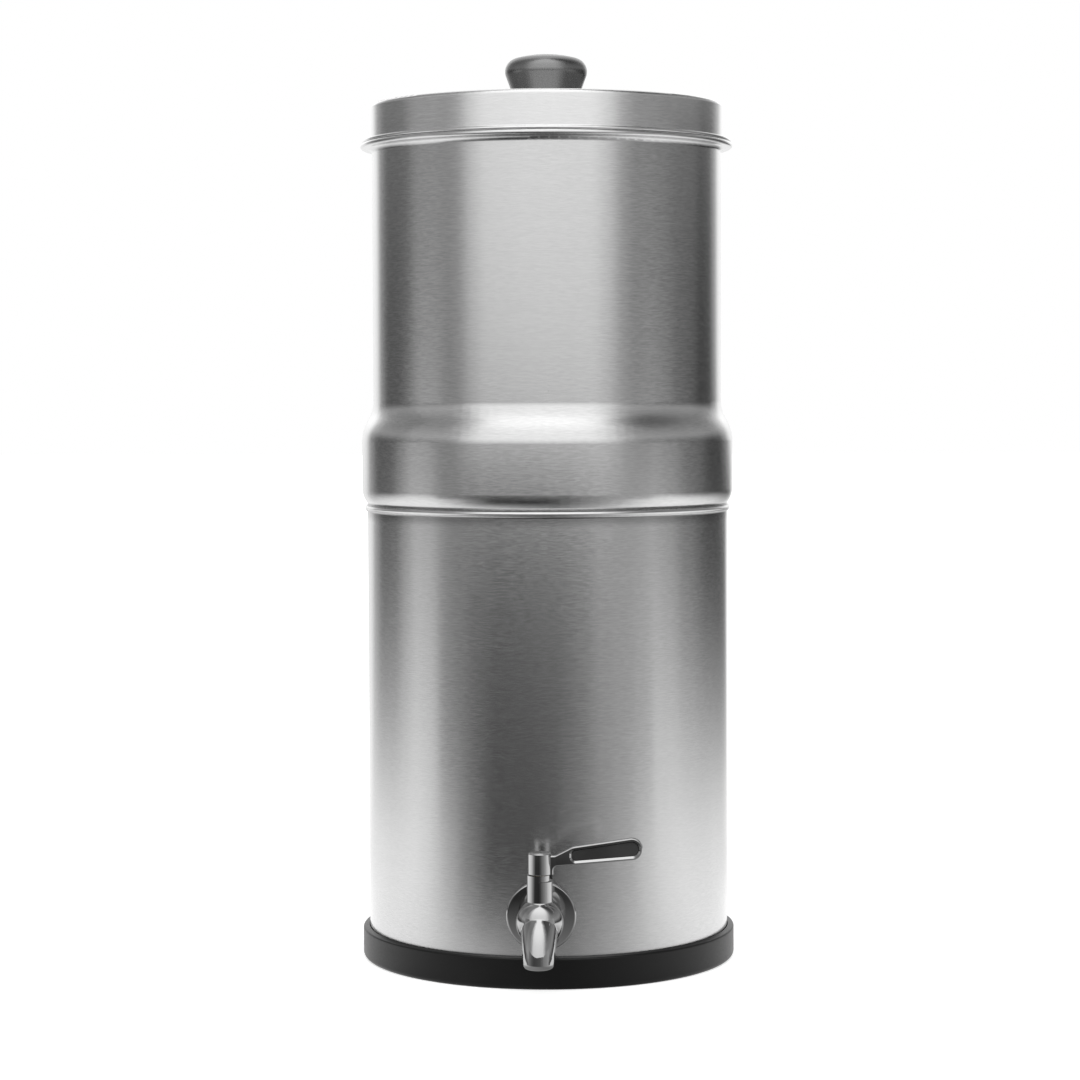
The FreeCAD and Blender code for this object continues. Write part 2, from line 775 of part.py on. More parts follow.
def valve_stem():
    """The stem: a tongue in the ball, a round shaft with two grooves, and a square for the lever."""
    foot = tap_z + ball_radius - tongue_depth
    shoulder = tap_z + ball_radius + slot_play
    shaft = post(valve_stem_radius, shoulder, stem_square_z)
    tongue = Part.makeBox(2 * valve_stem_radius, tongue_width, shoulder - foot + 0.5,
                          Vector(-valve_stem_radius, -tongue_width / 2, foot))
    tongue = tongue.common(post(valve_stem_radius, foot, shoulder + 0.5))
    square = Part.makeBox(square_size, square_size, square_length + 0.5,
                          Vector(-square_size / 2, -square_size / 2, stem_square_z - 0.5))
    stem = shaft.fuse([tongue, square])
    for z in o_ring_heights():
        groove = turned([
            (valve_stem_radius - o_ring_radius * 1.9, z - o_ring_radius * 1.1, 0),
            (valve_stem_radius + 1, z - o_ring_radius * 1.1, 0),
            (valve_stem_radius + 1, z + o_ring_radius * 1.1, 0),
            (valve_stem_radius - o_ring_radius * 1.9, z + o_ring_radius * 1.1, 0)])
        stem = stem.cut(groove)
    thread = post(lever_screw_radius + 0.05, stem_top_z - lever_screw_length, stem_top_z + 1)
    return over_neck(stem.cut(thread))


def o_ring_heights():
    """Heights of the two O-rings, below the gland."""
    first = neck_top_z - gland_length - 1.6
    return [first, first - o_ring_spacing]


def stem_o_rings():
    """Two O-rings in the stem's grooves."""
    mean = valve_stem_radius - o_ring_radius * 0.85
    rings = [over_neck(Part.makeTorus(mean, o_ring_radius, Vector(0, 0, z))) for z in o_ring_heights()]
    return Part.makeCompound(rings)


def stem_gland():
    """The bush that is pressed into the neck and keeps the stem down."""
    return over_neck(disc(gland_radius, neck_top_z - gland_length, neck_top_z - 0.3,
                          valve_stem_radius + valve_stem_play / 2, 0.5))


def blade_slopes():
    """The blade's lower and upper edge: height at the stem's axis, and rise for each mm of reach."""
    low = hub_z + blade_low
    high = hub_z + blade_high
    return low, blade_low_rise, high, blade_high_rise


def blade_face():
    """The blade's outline in the XZ plane, with the gusset that runs down beside the hub."""
    low, low_rise, high, high_rise = blade_slopes()
    side = hub_radius + gusset_reach
    tip = lever_reach
    return outline_face([
        (0, hub_z, 0),
        (side, hub_z, 0),
        (side, low + low_rise * side, gusset_round),
        (tip, low + low_rise * tip, lever_tip_radius),
        (tip, high + high_rise * tip, lever_tip_radius),
        (knuckle_reach, high + high_rise * knuckle_reach, knuckle_round),
        (hub_radius + 2, hub_z + root_height, root_round),
        (0, hub_z + root_height, 0)])


def recess_face(inset):
    """The outline of the recess in the blade, drawn in by an inset from the blade's own edges."""
    low, low_rise, high, high_rise = blade_slopes()
    start = recess_start + inset - recess_inset
    tip = lever_reach - inset
    corner = recess_corner + recess_inset - inset
    low += inset * math.hypot(1, low_rise)
    high -= inset * math.hypot(1, high_rise)
    return outline_face([
        (start, low + low_rise * start, corner),
        (tip, low + low_rise * tip, lever_tip_radius - inset),
        (tip, high + high_rise * tip, lever_tip_radius - inset),
        (start, high + high_rise * start, corner)])


def outline_face(corners):
    """A flat face in the XZ plane, from its corners."""
    return Part.Face(Part.Wire(Part.__sortEdges__(chain(corners, closed=True))))


def thick(face, front, back):
    """A plate made from a face in the XZ plane, between two distances in front of it."""
    moved = face.copy()
    moved.translate(Vector(0, -front, 0))
    return moved.extrude(Vector(0, front - back, 0))


def recess_floor():
    """How far in front of the blade's middle plane the recess ends."""
    return lever_thickness / 2 - recess_depth


def tap_handle():
    """The lever: a round hub over the neck, and an upright blade with a sloping recess in its front."""
    front = lever_thickness / 2
    arm = thick(blade_face(), front, -front)
    outline = [e for e in arm.Edges if e.BoundBox.XMax > 1 and e.BoundBox.YLength < 0.01
               and e.BoundBox.ZMax > hub_z + 0.01]
    arm = arm.makeFillet(lever_round, outline)
    hub = disc(hub_radius, hub_z, hub_top_z, 0, hub_round, 0.3)
    web_z = hub_top_z - (hub_height - hub_web)
    handle = hub.fuse(arm)
    hollow = post(cap_radius + cap_play, web_z, hub_top_z + 1)
    tunnel = square_size + 2 * square_play
    square = Part.makeBox(tunnel, tunnel, web_z - hub_z + 2, Vector(-tunnel / 2, -tunnel / 2, hub_z - 1))
    handle = handle.cut(hollow).cut(square)
    lug = sector(neck_radius - stop_wall + lug_play, neck_radius - 0.1, hub_z - stop_depth + 0.5, hub_z + 1,
                 lug_angle - lug_half_width, lug_angle + lug_half_width)
    pocket = thick(recess_face(recess_inset + recess_slope), front + 1, recess_floor())
    handle = handle.fuse(lug).cut(pocket)
    rim = [e for e in handle.Edges if abs(e.BoundBox.YMin + front) < 1e-3 and abs(e.BoundBox.YMax + front) < 1e-3
           and e.BoundBox.XMin > recess_start and e.BoundBox.ZMin > hub_z
           and is_recess_edge(e)]
    return over_neck(handle.makeChamfer(recess_slope, rim))


def is_recess_edge(edge):
    """True for an edge of the recess's inner outline."""
    outline = recess_face(recess_inset + recess_slope).OuterWire
    middle = edge.valueAt((edge.FirstParameter + edge.LastParameter) / 2)
    return outline.distToShape(Part.Vertex(Vector(middle.x, 0, middle.z)))[0] < 0.01


def handle_pad():
    """The black pad on the recess's floor."""
    face = recess_face(recess_inset + recess_slope + pad_play)
    return over_neck(thick(face, recess_floor() + pad_thickness, recess_floor()))


def handle_cap():
    """The disc that closes the hub over its screw."""
    return over_neck(disc(cap_radius, hub_top_z - cap_thickness + cap_proud, hub_top_z + cap_proud, 0, 0.35))


def handle_screw():
    """The screw that holds the lever on the stem."""
    web_z = hub_top_z - (hub_height - hub_web)
    head = disc(lever_screw_head_radius, web_z, web_z + lever_screw_head_height, 0, 0.8)
    shank = post(lever_screw_radius, web_z - lever_screw_length, web_z + 0.5)
    slot = Part.makeBox(8, 0.9, 1.5, Vector(-4, -0.45, web_z + lever_screw_head_height - 1))
    return over_neck(head.fuse(shank).cut(slot))


def main():
    os.makedirs(OUT, exist_ok=True)
    save("lower_chamber", lower_chamber())
    save("base_ring", base_ring())
    save("upper_chamber", upper_chamber())
    for side, place in zip(("left", "right"), candle_places()):
        save("filter_seal_" + side, at(filter_seal(), place))
        save("filter_mount_" + side, at(filter_mount(), place))
        save("filter_ceramic_" + side, at(filter_ceramic(), place))
        save("filter_core_" + side, at(filter_core(), place))
        save("wing_nut_" + side, at(wing_nut(), place))
    save("lid", lid())
    save("lid_knob", lid_knob())
    save("knob_insert", knob_insert())
    save("knob_washer", knob_washer())
    save("knob_screw", knob_screw())
    save("tap_gasket", tap_gasket())
    save("tap_escutcheon", tap_escutcheon())
    save("tap_inner_gasket", tap_inner_gasket())
    save("tap_washer", tap_washer())
    save("tap_nut", tap_nut())
    save("tap_shank", tap_shank())
    save("tap_body", tap_body())
    save("valve_seat_inlet", valve_seat(socket_front))
    save("valve_seat_outlet", valve_seat(seat_front_end - seat_ring_length))
    save("stem_gland", stem_gland())
    save("valve_ball", valve_ball())
    save("valve_stem", valve_stem())
    save("stem_o_rings", stem_o_rings())
    save("tap_handle", tap_handle())
    save("handle_pad", handle_pad())
    save("handle_cap", handle_cap())
    save("handle_screw", handle_screw())


main()
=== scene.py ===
# %% [markdown]
# # A two-chamber gravity water filter
#
# The object is a tall steel filter: a lower pot with a quarter-turn tap, an upper pot that holds
# two ceramic candles, and a lid with a black knob. Its shapes come from a construction model, so
# this lesson is about looks: a camera, a small photo studio, and one finish for each real material.
#
# Blender runs this file from top to bottom. Each code cell does one thing, and most print what they
# made.

# %% Load the construction model
import json
import math

import bpy
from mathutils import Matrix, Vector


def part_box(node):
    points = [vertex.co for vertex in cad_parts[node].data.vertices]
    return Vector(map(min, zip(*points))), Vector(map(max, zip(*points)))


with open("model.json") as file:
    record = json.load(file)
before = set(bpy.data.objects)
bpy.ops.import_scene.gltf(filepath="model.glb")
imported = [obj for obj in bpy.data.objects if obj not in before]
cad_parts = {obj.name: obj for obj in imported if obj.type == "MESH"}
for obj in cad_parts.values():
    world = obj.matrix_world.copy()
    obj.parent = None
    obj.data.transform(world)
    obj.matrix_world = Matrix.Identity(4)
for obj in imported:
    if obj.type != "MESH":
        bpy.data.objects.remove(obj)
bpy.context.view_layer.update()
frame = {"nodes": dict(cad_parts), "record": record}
parts = frame["nodes"]

# %% [markdown]
# ## The camera
#
# A product photographer stands well back and uses a long lens, so that a tall object keeps its
# upright sides. We could turn a camera by its rotation angles, but it is easier to build its three
# axes from what a photographer knows: how far it stands, how high, how much it looks down, and the
# small turn and tilt of its head. A camera looks along its own -Z, with +Y up and +X to the right.

# %% Camera: which way it looks
from mathutils import Matrix, Vector

WALK_ROUND = math.radians(2.2)
LOOK_DOWN = math.radians(3.14)
AIM_LEFT = math.radians(0.15)
HEAD_TILT = math.radians(0.187)
UPWARDS = Vector((0, 0, 1))

turn = WALK_ROUND + AIM_LEFT
level_ahead = Vector((-math.sin(turn), math.cos(turn), 0))
level_right = Vector((math.cos(turn), math.sin(turn), 0))
ahead = level_ahead * math.cos(LOOK_DOWN) - UPWARDS * math.sin(LOOK_DOWN)
over = level_ahead * math.sin(LOOK_DOWN) + UPWARDS * math.cos(LOOK_DOWN)
right = level_right * math.cos(HEAD_TILT) - over * math.sin(HEAD_TILT)
over = over * math.cos(HEAD_TILT) + level_right * math.sin(HEAD_TILT)
axes = Matrix((right, over, -ahead)).transposed().to_4x4()
print("looking along", [round(x, 3) for x in ahead])

# %% Camera: its stand and its lens
STAND_OFF = 1.727
EYE_HEIGHT = 0.3451
FOCAL_LENGTH = 95.7
SENSOR_WIDTH = 36

lens = bpy.data.cameras.new("product_camera")
lens.lens = FOCAL_LENGTH
lens.sensor_width = SENSOR_WIDTH
camera = bpy.data.objects.new("product_camera", lens)
bpy.context.scene.collection.objects.link(camera)
bpy.context.scene.camera = camera
stand = Vector((STAND_OFF * math.sin(WALK_ROUND), -STAND_OFF * math.cos(WALK_ROUND), EYE_HEIGHT))
camera.matrix_world = Matrix.Translation(stand) @ axes
print("camera", [round(x, 3) for x in stand], "lens", lens.lens)

# %% [markdown]
# ## Nodes, and helpers for them
#
# A material in Blender is a small network: nodes make numbers and colours, and links carry them to
# a shader. Written out by hand, each node takes four or five lines. One helper adds a node, sets
# its options and fills its sockets, either with a plain number or with another node's output. Four
# more stand for the nodes that this lesson uses most.

# %% Helpers: nodes
def add(tree, kind, feeds=None, **options):
    """Adds a node, sets its options, and feeds its sockets with values or with other outputs."""
    node = tree.nodes.new("ShaderNode" + kind)
    for option, value in options.items():
        setattr(node, option, value)
    for socket, value in (feeds or {}).items():
        if isinstance(value, bpy.types.NodeSocket):
            tree.links.new(value, node.inputs[socket])
        else:
            node.inputs[socket].default_value = value
    return node


def sums(tree, operation, *values):
    """The output of a Math node with these values in its sockets."""
    return add(tree, "Math", dict(enumerate(values)), operation=operation).outputs[0]


def spread(tree, value, start, end, low=0.0, high=1.0):
    """A value between start and end, carried over to low and high, and held there beyond them."""
    return add(tree, "MapRange", {0: value, 1: start, 2: end, 3: low, 4: high}).outputs[0]


def between(tree, factor, first, second):
    """The first number at factor 0, the second at factor 1."""
    return add(tree, "Mix", {0: factor, 2: first, 3: second}, data_type="FLOAT").outputs[0]


def curve(tree, value, stops, blend="EASE"):
    """A grey level for a value from 0 to 1, read from stops of (place, level)."""
    ramp = add(tree, "ValToRGB", {0: value})
    ramp.color_ramp.interpolation = blend
    points = ramp.color_ramp.elements
    while len(points) < len(stops):
        points.new(0.5)
    for point, (place, level) in zip(points, sorted(stops)):
        point.position = place
        point.color = (level, level, level, 1)
    return ramp.outputs["Color"]


print("node helpers ready")

# %% [markdown]
# ## The studio: which way a point lies
#
# Polished steel has almost no colour of its own. What we see on it is the room, so the room is half
# of the finish. We could set up cards and lamps one by one, but each would need its own place and
# would throw its own shadow. Instead we paint the room's surfaces in greys that depend on the
# bearing, which is the direction as seen from the filter, and mirror rays pick those greys up.

# %% Studio: bearings
FULL_TURN = 360
HALF_TURN = 180


def bearing(tree, place):
    """0 to 1 for a direction round the z axis: 0.5 is the front (-Y), 0.75 the right (+X)."""
    xyz = add(tree, "SeparateXYZ", {0: place}).outputs
    angle = sums(tree, "ARCTAN2", xyz["X"], sums(tree, "MULTIPLY", xyz["Y"], -1.0))
    return sums(tree, "MULTIPLY_ADD", angle, 0.5 / math.pi, 0.5)


def by_degrees(levels):
    """Stops for a curve over the bearing, from levels at degrees right of the front."""
    return [((degrees + HALF_TURN) / FULL_TURN, level) for degrees, level in levels]


print("front", by_degrees([(0, 1)]), "right", by_degrees([(90, 1)]))

# %% [markdown]
# ## The studio: floor
#
# The floor has three rings. The one at the filter's foot is mid grey in front and white at the
# sides, and it lights up the bottom of the lower pot. The next is almost black in front, which draws
# the grey core down the lower pot, and white at the sides. The far one is mid grey in front, dark
# towards the back corners, and white behind. Real paper and cloth could do this, but the rings have
# to fade into each other, and a distance and two curves in one material do that easily.

# %% Studio: the greys of the floor
FOOT_FLOOR = by_degrees([
    (-180, 1.3), (-90, 1.2), (-64, 1.1), (-52, 0.92), (-40, 0.74), (-27, 0.6), (-12, 0.42),
    (10, 0.3), (22, 0.42), (34, 0.56), (47, 0.76), (60, 0.96), (72, 1.1), (90, 1.2), (180, 1.3)])
NEAR_FLOOR = by_degrees([
    (-180, 1.3), (-140, 1.1), (-113, 1.2), (-84, 1.24), (-74, 1.15), (-65, 0.95), (-56, 0.68),
    (-44, 0.30), (-30, 0.05), (-4, 0.04), (6, 0.09), (16, 0.21), (30, 0.36), (47, 0.58), (60, 0.92),
    (72, 1.15), (86, 1.24), (118, 1.15), (145, 1.0), (180, 1.3)])
FAR_FLOOR = by_degrees([
    (-180, 1.0), (-150, 1.0), (-138, 0.42), (-125, 0.12), (-110, 0.14), (-96, 0.5), (-88, 0.75),
    (-77, 0.68), (-64, 0.34), (60, 0.48), (72, 0.64), (84, 0.50), (98, 0.22), (121, 0.04),
    (144, 0.03), (155, 0.12), (168, 1.0), (180, 1.0)])
print("floor stops", len(FOOT_FLOOR), len(NEAR_FLOOR), len(FAR_FLOOR))

# %% Studio: the floor's level for mirror rays
FOOT_ENDS = (0.20, 0.40)
NEAR_REACH = 5.0
NEAR_SHARE = [(0.10, 1.0), (0.15, 0.86), (0.20, 0.62), (0.25, 0.47), (0.31, 0.34), (0.40, 0.20),
              (0.55, 0.08), (1.0, 0.0)]


def studio_paint(name):
    """A material with an empty node tree."""
    paint = bpy.data.materials.new(name)
    paint.use_nodes = True
    paint.node_tree.nodes.clear()
    return paint, paint.node_tree


floor_paint, tree = studio_paint("studio_floor")
place = add(tree, "NewGeometry").outputs["Position"]
reach = add(tree, "VectorMath", {0: place}, operation="LENGTH").outputs["Value"]
way = bearing(tree, place)
near_share = curve(tree, sums(tree, "MULTIPLY", reach, 1 / NEAR_REACH), NEAR_SHARE)
near_and_far = between(tree, near_share, curve(tree, way, FAR_FLOOR), curve(tree, way, NEAR_FLOOR))
foot_share = spread(tree, reach, *FOOT_ENDS, low=1.0, high=0.0)
mirror_level = between(tree, foot_share, near_and_far, curve(tree, way, FOOT_FLOOR))
print("foot ring ends at", FOOT_ENDS[1], "near ring at", NEAR_REACH)

# %% [markdown]
# ## The studio: one floor for three kinds of ray
#
# The camera should see white paper with the filter's own soft shadow, the steel should mirror the
# painted rings, and rays that only gather soft light should find plain paper. Three floors would
# hide one another. A Light Path node knows what kind a ray is, so one floor can answer each kind.

# %% Studio: what each kind of ray meets
PAPER = (0.8, 0.8, 0.8, 1)
GLOW_FROM, GLOW_FULL = 0.45, 1.2
GLOW_NEAR, GLOW_FAR = 0.62, 1.0

path = add(tree, "LightPath").outputs
mirrored = sums(tree, "MAXIMUM", path["Is Glossy Ray"], path["Is Transmission Ray"])
paper = add(tree, "BsdfDiffuse", {"Color": PAPER}).outputs[0]
glow_level = spread(tree, reach, GLOW_FROM, GLOW_FULL, low=GLOW_NEAR, high=GLOW_FAR)
glow = add(tree, "Emission", {"Strength": glow_level}).outputs[0]
white = add(tree, "AddShader", {0: paper, 1: glow}).outputs[0]
painted = add(tree, "Emission", {"Strength": mirror_level}).outputs[0]
for_light = add(tree, "MixShader", {0: mirrored, 1: paper, 2: painted}).outputs[0]
for_all = add(tree, "MixShader", {0: path["Is Camera Ray"], 1: for_light, 2: white}).outputs[0]
add(tree, "OutputMaterial", {"Surface": for_all})
print("floor material nodes", len(tree.nodes))

# %% Studio: the floor itself
FLOOR_HALF = 12.0


def studio_sheet(name, points, faces, paint):
    """A piece of the studio: a mesh from points and faces, in one paint."""
    mesh = bpy.data.meshes.new(name)
    mesh.from_pydata(points, [], faces)
    mesh.materials.append(paint)
    sheet = bpy.data.objects.new(name, mesh)
    bpy.context.scene.collection.objects.link(sheet)
    return sheet


square = [(-1, -1), (1, -1), (1, 1), (-1, 1)]
corners = [(x * FLOOR_HALF, y * FLOOR_HALF, 0) for x, y in square]
floor = studio_sheet("studio_floor", corners, [(0, 1, 2, 3)], floor_paint)
print("floor", floor.dimensions[:])

# %% [markdown]
# ## The studio: a dark apron in front
#
# A black card is the photographer's way to give steel some contrast. This one is a low curved
# strip round the front, below the lens, and it is paler towards its ends. The upper pot looks over
# its top edge at the bright screen, the lower pot looks straight at it, and so the two pots differ
# although they are the same steel. A flat card would do, but a curved one keeps one distance.
# Mirror rays are the only ones that meet it.

# %% Studio: the apron's greys
APRON = by_degrees([
    (-66, 0.40), (-58, 0.30), (-50, 0.24), (-40, 0.15), (-27, 0.10), (-14, 0.11), (8, 0.14),
    (22, 0.23), (34, 0.38), (48, 0.44), (60, 0.52), (68, 0.60)])

apron_paint, tree = studio_paint("studio_apron")
place = add(tree, "NewGeometry").outputs["Position"]
apron_level = curve(tree, bearing(tree, place), APRON)
apron_light = add(tree, "Emission", {"Strength": apron_level}).outputs[0]
add(tree, "OutputMaterial", {"Surface": apron_light})
print("apron stops", len(APRON))

# %% Studio: the apron itself
APRON_REACH = 0.80
APRON_FOOT = 0.001
APRON_TOP = 0.30
APRON_FROM = -66
APRON_SWEEP = 134
APRON_STEPS = 48

outline = []
for step in range(APRON_STEPS + 1):
    angle = math.radians(APRON_FROM + APRON_SWEEP * step / APRON_STEPS)
    outline.append((APRON_REACH * math.sin(angle), -APRON_REACH * math.cos(angle)))
count = len(outline)
points = [(x, y, z) for z in (APRON_FOOT, APRON_TOP) for x, y in outline]
faces = [(i, i + 1, count + i + 1, count + i) for i in range(APRON_STEPS)]
apron = studio_sheet("studio_apron", points, faces, apron_paint)
for unseen in ("visible_camera", "visible_diffuse", "visible_shadow", "visible_transmission"):
    setattr(apron, unseen, False)
print("apron", len(faces), "strips")

# %% [markdown]
# ## The studio: walls
#
# The upper pot mirrors the walls. In front hangs a wide white screen, and its two edges draw the
# crisp light panel down the middle of the pot. The side walls are grey, the corners behind them are
# almost black, and the wall behind the filter is white. All the walls have a pale band a little
# above the horizon, and a bright ceiling over the front lights the shoulder of the upper pot.
#
# Walls could be built as planes. The world does the same with no geometry, because it is a sphere
# of light at an endless distance, and its material can paint by direction alone. Rubber, plastic
# and ceramic would take too much contrast from it, so soft rays see one even level instead, and the
# camera sees white.

# %% Studio: the greys of the walls
WALLS = by_degrees([
    (-180, 1.1), (-150, 1.1), (-137, 0.26), (-126, 0.08), (-102, 0.08), (-92, 0.21), (-64, 0.22),
    (-58, 0.28), (-46, 0.76), (-38, 0.98), (0, 1.05), (32, 1.02), (41, 0.80), (54, 0.30),
    (62, 0.17), (84, 0.13), (98, 0.10), (112, 0.10), (124, 0.04), (136, 0.08), (146, 0.4),
    (158, 1.1), (180, 1.1)])
HIGH_ON_WALLS = [(0.0, 0.0), (0.05, 0.02), (0.1, 0.14), (0.2, 0.34), (0.45, 0.22), (0.7, 0.06)]
CEILING = by_degrees([
    (-180, 1.15), (-135, 1.05), (-112, 0.38), (-75, 0.38), (-60, 1.1), (-48, 1.7), (48, 1.7),
    (58, 1.1), (68, 0.4), (80, 0.1), (115, 0.1), (138, 0.9), (180, 1.15)])
print("wall stops", len(WALLS), "ceiling stops", len(CEILING))

# %% Studio: the world that carries them
CEILING_FROM, CEILING_FULL = 0.45, 0.92
SOFT_LEVEL = 0.62
WHITE_LEVEL = 1.0

world = bpy.data.worlds.new("studio_walls")
bpy.context.scene.world = world
world.use_nodes = True
sky = world.node_tree
sky.nodes.clear()
direction = add(sky, "TexCoord").outputs["Generated"]
height = add(sky, "SeparateXYZ", {0: direction}).outputs["Z"]
way = bearing(sky, direction)
walls = sums(sky, "ADD", curve(sky, way, WALLS), curve(sky, height, HIGH_ON_WALLS))
up_high = spread(sky, height, CEILING_FROM, CEILING_FULL)
for_metal = between(sky, up_high, walls, curve(sky, way, CEILING))
rays = add(sky, "LightPath").outputs
metal_ray = sums(sky, "MAXIMUM", rays["Is Glossy Ray"], rays["Is Transmission Ray"])
level = between(sky, metal_ray, SOFT_LEVEL, for_metal)
level = between(sky, rays["Is Camera Ray"], level, WHITE_LEVEL)
light = add(sky, "Background", {"Color": (1, 1, 1, 1), "Strength": level}).outputs[0]
add(sky, "OutputWorld", {"Surface": light})
print("world nodes", len(sky.nodes), "soft level", SOFT_LEVEL)

# %% [markdown]
# ## The studio: lamps
#
# An even world alone leaves black rubber and plastic without any modelling. Two large soft boxes,
# one overhead and one in front, give them a light side and a soft shadow on the floor. Small lamps
# would give hard shadows. The boxes are hidden from mirror rays, since the steel would show them as
# hard bars, and the walls already hold what the steel should show.

# %% Studio: the lamps
AIM = (0, 0, 0.3)


def soft_lamp(name, place, size, power):
    """A rectangular soft box aimed at the filter, which neither camera nor mirrors see."""
    data = bpy.data.lights.new(name, "AREA")
    data.shape = "RECTANGLE"
    data.size, data.size_y = size
    data.energy = power
    lamp = bpy.data.objects.new(name, data)
    bpy.context.scene.collection.objects.link(lamp)
    lamp.location = place
    lamp.rotation_euler = (Vector(AIM) - Vector(place)).to_track_quat("-Z", "Y").to_euler()
    lamp.visible_camera = False
    lamp.visible_glossy = False
    return lamp


overhead = soft_lamp("overhead_box", place=(0, -1.1, 1.9), size=(2.2, 1.5), power=16.0)
front = soft_lamp("front_screen", place=(0.2, -3.0, 1.2), size=(2.2, 1.6), power=14.0)
bpy.context.scene.view_settings.view_transform = "Standard"
print("lamps", overhead.data.energy, front.data.energy)

# %% [markdown]
# ## Finishes: helpers
#
# Every finish starts from Blender's main surface shader and changes a few of its sockets. What
# varies over the surface comes from a noise, which is a link. What is the same all over is typed
# straight into the socket, since a plain number survives an export and a linked one may not. A
# noise rarely leaves its middle, so only that part of it is used, from 0.3 to 0.7.

# %% Finish: helpers that start, feed and fix a shader
NOISE_LOW, NOISE_HIGH = 0.3, 0.7


def new_finish(name):
    """A material, its node tree, and its main shader."""
    finish = bpy.data.materials.new(name)
    finish.use_nodes = True
    tree = finish.node_tree
    return finish, tree, tree.nodes["Principled BSDF"]


def feed(tree, surface, outputs):
    """Links node outputs to the shader's sockets."""
    for socket, output in outputs.items():
        tree.links.new(output, surface.inputs[socket])


def fix(surface, numbers):
    """Sets what is the same all over a surface, straight on the shader's sockets."""
    for socket, number in numbers.items():
        surface.inputs[socket].default_value = number


print("a noise counts from", NOISE_LOW, "to", NOISE_HIGH)

# %% Finish: helpers that vary a roughness and a colour
def rough_about(tree, noise, middle, drift):
    """A roughness that drifts by a share of its middle, up and down."""
    return spread(tree, noise, NOISE_LOW, NOISE_HIGH, middle * (1 - drift), middle * (1 + drift))


def tinted(tree, noise, colour, low, high):
    """A colour that drifts between two shares of its strength."""
    ramp = add(tree, "ValToRGB", {0: noise})
    stops = ((NOISE_LOW, low), (NOISE_HIGH, high))
    for point, (place, share) in zip(ramp.color_ramp.elements, stops):
        point.position = place
        point.color = (*[c * share for c in colour], 1)
    return ramp.outputs[0]


def bumped(tree, height, strength, depth, under=None):
    """A shading normal from a height, on top of another one if there is one."""
    feeds = {"Height": height, "Strength": strength, "Distance": depth}
    if under is not None:
        feeds["Normal"] = under
    return add(tree, "Bump", feeds).outputs[0]


print("drift helpers ready")

# %% [markdown]
# ## Lines round the axis
#
# The pots and the lid are spun from sheet and then brushed while they turn, so thousands of fine
# grooves run round them, and turned parts have the rings of the lathe tool. Modelling them would
# take millions of faces, so a noise that is stretched round the axis stands for them.
#
# The noise has four inputs: the place, squeezed along z, and the distance from the axis. On a wall
# the first three make level lines, and on the lid the fourth makes rings, so one recipe fits both.

# %% Finish: a noise in lines
def lines_round_axis(tree, pitch, length, seed, detail):
    """Noise from 0 to 1 in lines round the z axis, of a pitch and a length in metres."""
    place = add(tree, "TexCoord").outputs["Object"]
    xyz = add(tree, "SeparateXYZ", {0: place}).outputs
    level = add(tree, "CombineXYZ", {0: xyz["X"], 1: xyz["Y"]}).outputs[0]
    reach = add(tree, "VectorMath", {0: level}, operation="LENGTH").outputs["Value"]
    scale = (1 / length, 1 / length, 1 / pitch)
    squeezed = add(tree, "VectorMath", {0: place, 1: scale}, operation="MULTIPLY").outputs[0]
    rings = sums(tree, "MULTIPLY_ADD", reach, 1 / pitch, seed)
    return add(tree, "TexNoise", {"Vector": squeezed, "W": rings, "Scale": 1.0, "Detail": detail},
               noise_dimensions="4D").outputs[0]


print("line noise ready")

# %% [markdown]
# ## The rolled rim of the lower pot
#
# The lower pot's edge is rolled outwards into a bead, and shade gathers in the crevice under it.
# The construction model has that bead, with a plainer face than the real roll. We could model a
# finer roll, but it is only a few millimetres high, so the finish helps out: one curve over the
# height bends the bead's face into a rounder one, and another paints shade into the crevice by
# darkening the colour there. Both work in a zone that ends at the rim's top. The upper pot's spigot
# lies in the same zone, and gets the same faint band of painted shade.

# %% Finish: the rim's two curves
RIM_ZONE = 0.018
BEAD_HEIGHT = 0.0009
BEAD_ROLL = [(0.0, 0.0), (0.80, 0.0), (0.84, 0.55), (0.90, 1.0), (0.96, 0.6), (1.0, 0.0)]
# Painted shade: these stops darken the steel's colour in the crevice under the bead.
RIM_PAINTED_SHADE = [(0.0, 1.0), (0.40, 1.0), (0.74, 0.62), (0.79, 0.5), (0.81, 1.0), (1.0, 1.0)]
rim_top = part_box("lower_chamber")[1].z


def rim_place(tree):
    """0 to 1 over the zone that ends at the top of the lower pot's rim."""
    height = add(tree, "SeparateXYZ", {0: add(tree, "TexCoord").outputs["Object"]}).outputs["Z"]
    return spread(tree, height, rim_top - RIM_ZONE, rim_top)


print("rim top", round(rim_top, 4))

# %% [markdown]
# ## Brushed steel
#
# A groove scatters light across itself and hardly along itself, so a lamp becomes an upright
# streak. A shader can be rougher in one direction than in the other, which is called anisotropy, and
# the tangent node tells it which way round is. The line noise adds the lines that are wide enough to
# see, in the colour, the roughness and a very shallow bump. A broader noise makes some bands a
# little paler than others. The lid takes the same recipe with slightly less gloss and a paler tone.
# The paler tone is painted light: the lid is the same sheet as the pots, made paler to look more
# lit.

# %% Finish: brushed steel
FINE_LINES = {"pitch": 0.0006, "length": 0.0045, "seed": 3.0, "detail": 3.0}
BROAD_LINES = {"pitch": 0.006, "length": 0.12, "seed": 11.0, "detail": 1.0}
BROAD_SHARE = 0.12
TINT_LOW, TINT_HIGH = 0.35, 0.65
GROOVE_STRENGTH = 0.16
GROOVE_DEPTH = 0.00002
ONE_WAY_GLOSS = {"Metallic": 1.0, "Anisotropic": 0.62, "Anisotropic Rotation": 0.25}


